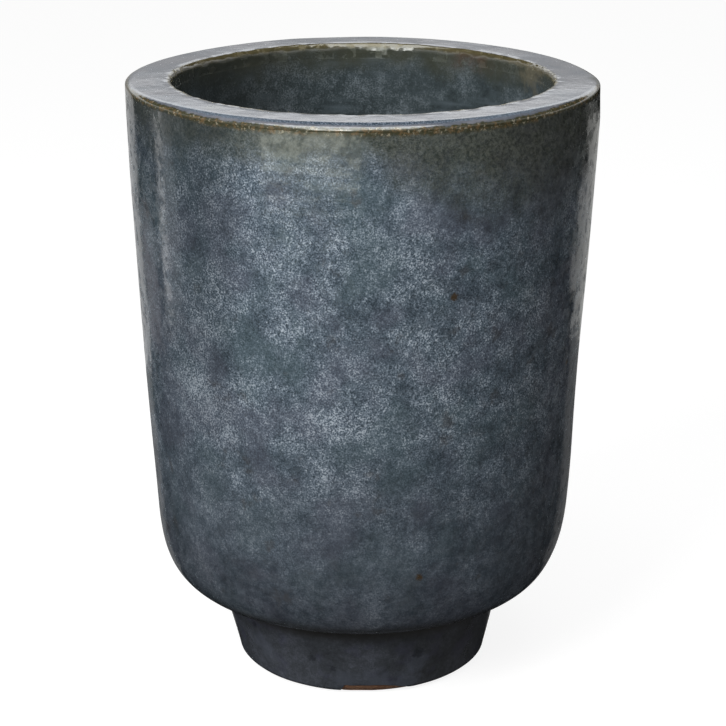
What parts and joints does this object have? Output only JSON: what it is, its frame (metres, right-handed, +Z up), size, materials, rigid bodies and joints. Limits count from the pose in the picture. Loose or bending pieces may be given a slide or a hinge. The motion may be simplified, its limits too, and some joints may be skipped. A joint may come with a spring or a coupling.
{
  "type": "glazed planter pot",
  "caption": "Tall round glazed stoneware planter: wide flat lip, gently tapering wall, large rounded turn and a short tapering foot, open at the top and drained through the floor.",
  "frame": {"origin": "centre of the foot's base, on the ground", "axes": "+Z up along the pot's axis; the pot is round, so +X and +Y are free"},
  "size_m": [0.4026, 0.4026, 0.521],
  "materials": {
    "clay": "bare fired clay, matte",
    "body_glaze": "glossy mottled slate blue-grey glaze with fine pale crystals",
    "foot_glaze": "darker satin blue-grey glaze",
    "rim_glaze": "glossy pale lavender-grey glaze",
    "inner_glaze": "glossy dark olive and blue-grey glaze"
  },
  "bodies": {
    "root": {"rim_ring": "clay", "upper_wall": "clay", "middle_wall": "clay", "bowl_wall": "clay", "floor_slab": "clay", "foot_ring": "clay", "body_glaze": "body_glaze", "foot_glaze": "foot_glaze", "rim_glaze": "rim_glaze", "inner_glaze": "inner_glaze"}
  },
  "joints": []
}
